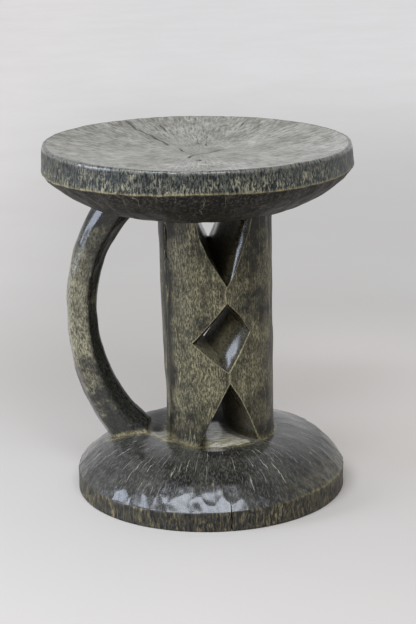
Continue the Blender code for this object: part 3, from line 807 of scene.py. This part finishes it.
mark(seat.data, "stain", hump(from_line(spots, LONG_CRACK), 12) * in_dish)
mark(seat.data, "dish", in_dish)
mark(seat.data, "lip", ease(radii, LIP_RADIUS, LIP_RADIUS + 0.6 * MM) * ease(normals[:, 2], 0.10, 0.30))
mark(seat.data, "rim", ease(heights, RIM_FOOT_Z - 0.9 * MM, RIM_FOOT_Z - 0.2 * MM) * (1 - in_dish))
mark(seat.data, "hem", hump(heights - RIM_FOOT_Z, 0.7 * MM) * (radii > 0.13))

# Worn end grain on the dish, drawn out along the rays; blue-black side grain with pale fibres on the rim,
# with a bluish painted light on its right; plain dark wood with a few scratches beneath. Dish and underside
# are painted paler at the front and darker at the back, as the light falls.
end_grain, add, shader = new_material("worn_end_grain_hardwood")
stain, rim, hem, in_dish, lip, split = [add("Attribute", out="Fac", attribute_name=name)
                                        for name in ("stain", "rim", "hem", "dish", "lip", "split")]
place = add("TexCoord", out="Object")
axes = add("SeparateXYZ", {0: place}).node.outputs
patches = add("TexNoise", {"Vector": place, "Scale": 1 / (30 * MM), "Detail": 5.0, "Roughness": 0.65})
# Painted light: dish and underside paler at the front and darker at the back, as the light falls.
painted_front_light = add("MapRange", {0: axes["Y"], 1: -0.12, 2: 0.12, 3: 0.10, 4: -0.10})
tone = add("Math", {0: patches, 1: painted_front_light}, operation="ADD")
tone = add("MapRange", {0: tone, 1: 0.34, 2: 0.68})
rays = add("TexNoise", {"Vector": round_log(add, PITH, 2.0 * MM, 9 * MM, 1.0), "Scale": 1.0,
                              "Detail": 3.0, "Roughness": 0.7, "Distortion": 0.3})
dark_rays = add("MapRange", {0: rays, 1: 0.50, 2: 0.34, 4: 0.65})
pale_rays = add("MapRange", {0: rays, 1: 0.52, 2: 0.70, 4: 0.55})
ray_checks = dashes(add, round_log(add, PITH, 6 * MM, 12 * MM, 1.0), 0.10, 0.6)
ray_checks = add("Math", {0: ray_checks, 1: 0.75}, operation="MULTIPLY")
stain = add("Math", {0: stain, 1: 0.2}, operation="MULTIPLY")
top = coats(add, "#8c887c", (tone, "#b9b5aa"), (dark_rays, "#5f5b52"), (pale_rays, "#cbc8bf"),
            (ray_checks, "#5d594f"), (stain, "#5c5952"))
fibres = add("TexNoise", {"Vector": round_log(add, PITH, 1.1 * MM, 12 * MM, 5 * MM), "Scale": 1.0,
                                "Detail": 3.0, "Roughness": 0.7, "Distortion": 0.9})
edge_tone = add("MapRange", {0: fibres, 1: 0.40, 2: 0.54})
low = add("MapRange", {0: axes["Z"], 1: 0.316, 2: 0.302, 3: -0.1, 4: 0.35})
blotches = add("TexNoise", {"Vector": place, "Scale": 1 / (11 * MM), "Detail": 3.0, "Roughness": 0.6})
low = add("Math", {0: blotches, 1: 2.2, 2: low}, operation="MULTIPLY_ADD")
low = add("MapRange", {0: low, 1: 0.95, 2: 1.55, 3: 0.1, 4: 0.95})
flecks = add("MapRange", {0: fibres, 1: 0.50, 2: 0.62})
flecks = add("Math", {0: flecks, 1: low}, operation="MULTIPLY")
# Painted light: a bluish grey laid over the right of the rim.
painted_right_light = add("MapRange", {0: axes["X"], 1: 0.02, 2: 0.11, 4: 0.14})
edge = coats(add, "#14171a", (edge_tone, "#43453f"), (flecks, "#98927a"), (painted_right_light, "#8a9093"))
grit = add("TexNoise", {"Vector": place, "Scale": 1 / (2.6 * MM), "Detail": 3.0, "Roughness": 0.7})
grit = add("MapRange", {0: grit, 1: 0.50, 2: 0.62, 4: 0.36})
scratches = dashes(add, round_log(add, (SEAT_X, 0.0), 13 * MM, 16 * MM, 1.0), 0.018, 0.42)
scratches = add("Math", {0: scratches, 1: 0.38}, operation="MULTIPLY")
under = coats(add, "#070706", (tone, "#171410"), (grit, "#6d6858"), (scratches, "#9a937c"))
hem_share = add("MapRange", {0: fibres, 1: 0.35, 2: 0.58, 3: 0.2, 4: 0.85})
hem = add("Math", {0: hem, 1: hem_share}, operation="MULTIPLY")
lip_tone = coats(add, "#2b2d2d", (edge_tone, "#6f6d62"))
colour = coats(add, under, (rim, edge), (hem, "#a59a74"), (in_dish, top), (lip, lip_tone),
               (split, "#1f1c17"))
below = add("MapRange", {0: rim, 3: 0.45, 4: 0.40})
matt = add("Mix", {0: in_dish, 2: below, 3: 0.48}, data_type="FLOAT")
gloss = add("MapRange", {0: fibres, 1: 0.35, 2: 0.65, 3: -0.06, 4: 0.14})
gloss = add("Math", {0: matt, 1: gloss}, operation="ADD")
gloss = add("Math", {0: lip, 1: -0.12, 2: gloss}, operation="MULTIPLY_ADD")
relief = add("Mix", {0: in_dish, 2: fibres, 3: rays}, data_type="FLOAT")
bump = add("Bump", {"Height": relief, "Strength": 0.35, "Distance": 0.5 * MM})
wax = add("MapRange", {0: lip, 3: 0.0, 4: 0.8})
feed(shader, {"Base Color": colour, "Roughness": gloss, "Normal": bump, "Coat Weight": wax,
              "Coat Roughness": 0.14, "Specular IOR Level": 0.2})
seat.data.materials.append(end_grain)
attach(seat, "root")
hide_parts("seat")


# A plain pale studio floor that keeps the stool's soft shadow, with a patch of painted light behind it on the
# right that lifts the shadow there. Farther out it glows with a fixed tone, as a sweep of paper looks:
# painted shade behind the stool, pale again far off, and painted light toward the window on the left.
bm = bmesh.new()
bmesh.ops.create_circle(bm, cap_ends=True, segments=96, radius=9.0)
floor = piece_from(bm, "studio_floor")
paper, add, shader = new_material("pale_studio_paper")
place = add("TexCoord", out="Object")
reach = add("VectorMath", {0: place}, operation="LENGTH")
mottle = add("TexNoise", {"Vector": place, "Scale": 1 / (180 * MM), "Detail": 4.0, "Roughness": 0.6})
mottle = add("MapRange", {0: mottle, 1: 0.35, 2: 0.75, 4: 0.12})
# Painted light: a paler patch behind the stool on the right lifts its shadow there.
lit_patch = add("VectorMath", {0: place, 1: (0.23, 0.24, 0.0)}, operation="DISTANCE")
lit_patch = add("MapRange", {0: lit_patch, 1: 0.38, 2: 0.08}, interpolation_type="SMOOTHSTEP")
near = coats(add, "#d4cdc3", (mottle, "#c4beb8"), (lit_patch, "#eee6db"))
# Painted shade and light on the far floor, which glows: darker behind the stool, pale far off and by the
# window.
far = add("MapRange", {0: reach, 1: 1.0, 2: 2.8}, interpolation_type="SMOOTHSTEP")
sideways = add("VectorMath", {0: place, 1: (0.984, -0.177, 0.0)}, operation="DOT_PRODUCT")
painted_window_light = add("MapRange", {0: sideways, 1: -0.15, 2: -0.42, 4: 0.9})
far = coats(add, "#c3c2c2", (far, "#dbdbdd"), (painted_window_light, "#dfdddd"), (mottle, "#b7b0ac"))
glow = add("Emission", {"Color": far, "Strength": 1.0})
ray = add("LightPath").node.outputs
seen = add("Math", {0: ray["Is Camera Ray"], 1: ray["Is Glossy Ray"]}, operation="MAXIMUM")
share = add("MapRange", {0: reach, 1: 0.30, 2: 0.80}, interpolation_type="SMOOTHSTEP")
share = add("Math", {0: share, 1: seen}, operation="MULTIPLY")
surface = add("MixShader", {0: share, 1: shader.outputs[0], 2: glow})
feed(shader, {"Base Color": near, "Roughness": 0.85, "Specular IOR Level": 0.2})
feed(paper.node_tree.nodes["Material Output"], {"Surface": surface})
floor.data.materials.append(paper)


# Light and camera
# Soft daylight: a wide strip above the front, a panel low at the left, and a pale sky that is brighter at the
# back and a little to the right. The camera stands in front, slightly to the left, and looks down.
turned = Matrix.Rotation(math.radians(-10.2), 4, "Z")


def panel(name, turn, lift, distance, width, tall, power, colour):
    """An area lamp aimed at the stool, at a turn to the left of the camera and a lift above the horizon."""
    lamp = bpy.data.lights.new(name, "AREA")
    lamp.shape = "RECTANGLE"
    lamp.size, lamp.size_y = width, tall
    lamp.energy = power
    lamp.color = linear(colour)[:3]
    holder = bpy.data.objects.new(name, lamp)
    scene.collection.objects.link(holder)
    turn, lift = math.radians(turn), math.radians(lift)
    away = Vector((-math.sin(turn) * math.cos(lift), -math.cos(turn) * math.cos(lift), math.sin(lift)))
    place = Matrix.Translation(Vector((0.0, 0.0, 0.16)) + away * distance)
    holder.matrix_world = turned @ place @ away.to_track_quat("Z", "Y").to_matrix().to_4x4()


panel("overhead_strip", 12, 50, 1.75, 1.9, 0.64, 32.0, "#eaf1ff")
panel("left_window", 76, 17, 1.7, 0.75, 0.90, 17.0, "#e0ebff")
world = bpy.data.worlds.new("even_sky")
world.use_nodes = True
add = functools.partial(add_node, world.node_tree)
way = add("TexCoord", out="Generated")
way = add("SeparateXYZ", {0: way}).node.outputs
level = add("MapRange", {0: way["Y"], 1: 0.0, 2: 0.7, 3: 0.36, 4: 0.64})
right = add("MapRange", {0: way["X"], 1: 0.1, 2: 0.9, 4: 0.12})
level = add("Math", {0: level, 1: right}, operation="ADD")
feed(world.node_tree.nodes["Background"], {"Color": "#e6e7ea", "Strength": level})
scene.world = world
scene.view_settings.view_transform = "Standard"

lens = bpy.data.cameras.new("photo_camera")
lens.sensor_width = 36.0
lens.lens = 100.12
camera = bpy.data.objects.new("photo_camera", lens)
scene.collection.objects.link(camera)
camera.matrix_world = (turned @ Matrix.Translation((0.0, -1.5073, 0.5958))
                       @ Matrix.Rotation(math.radians(90 - 16.03), 4, "X")
                       @ Matrix.Rotation(math.radians(-1.11), 4, "Z"))
scene.camera = camera

bpy.context.view_layer.update()
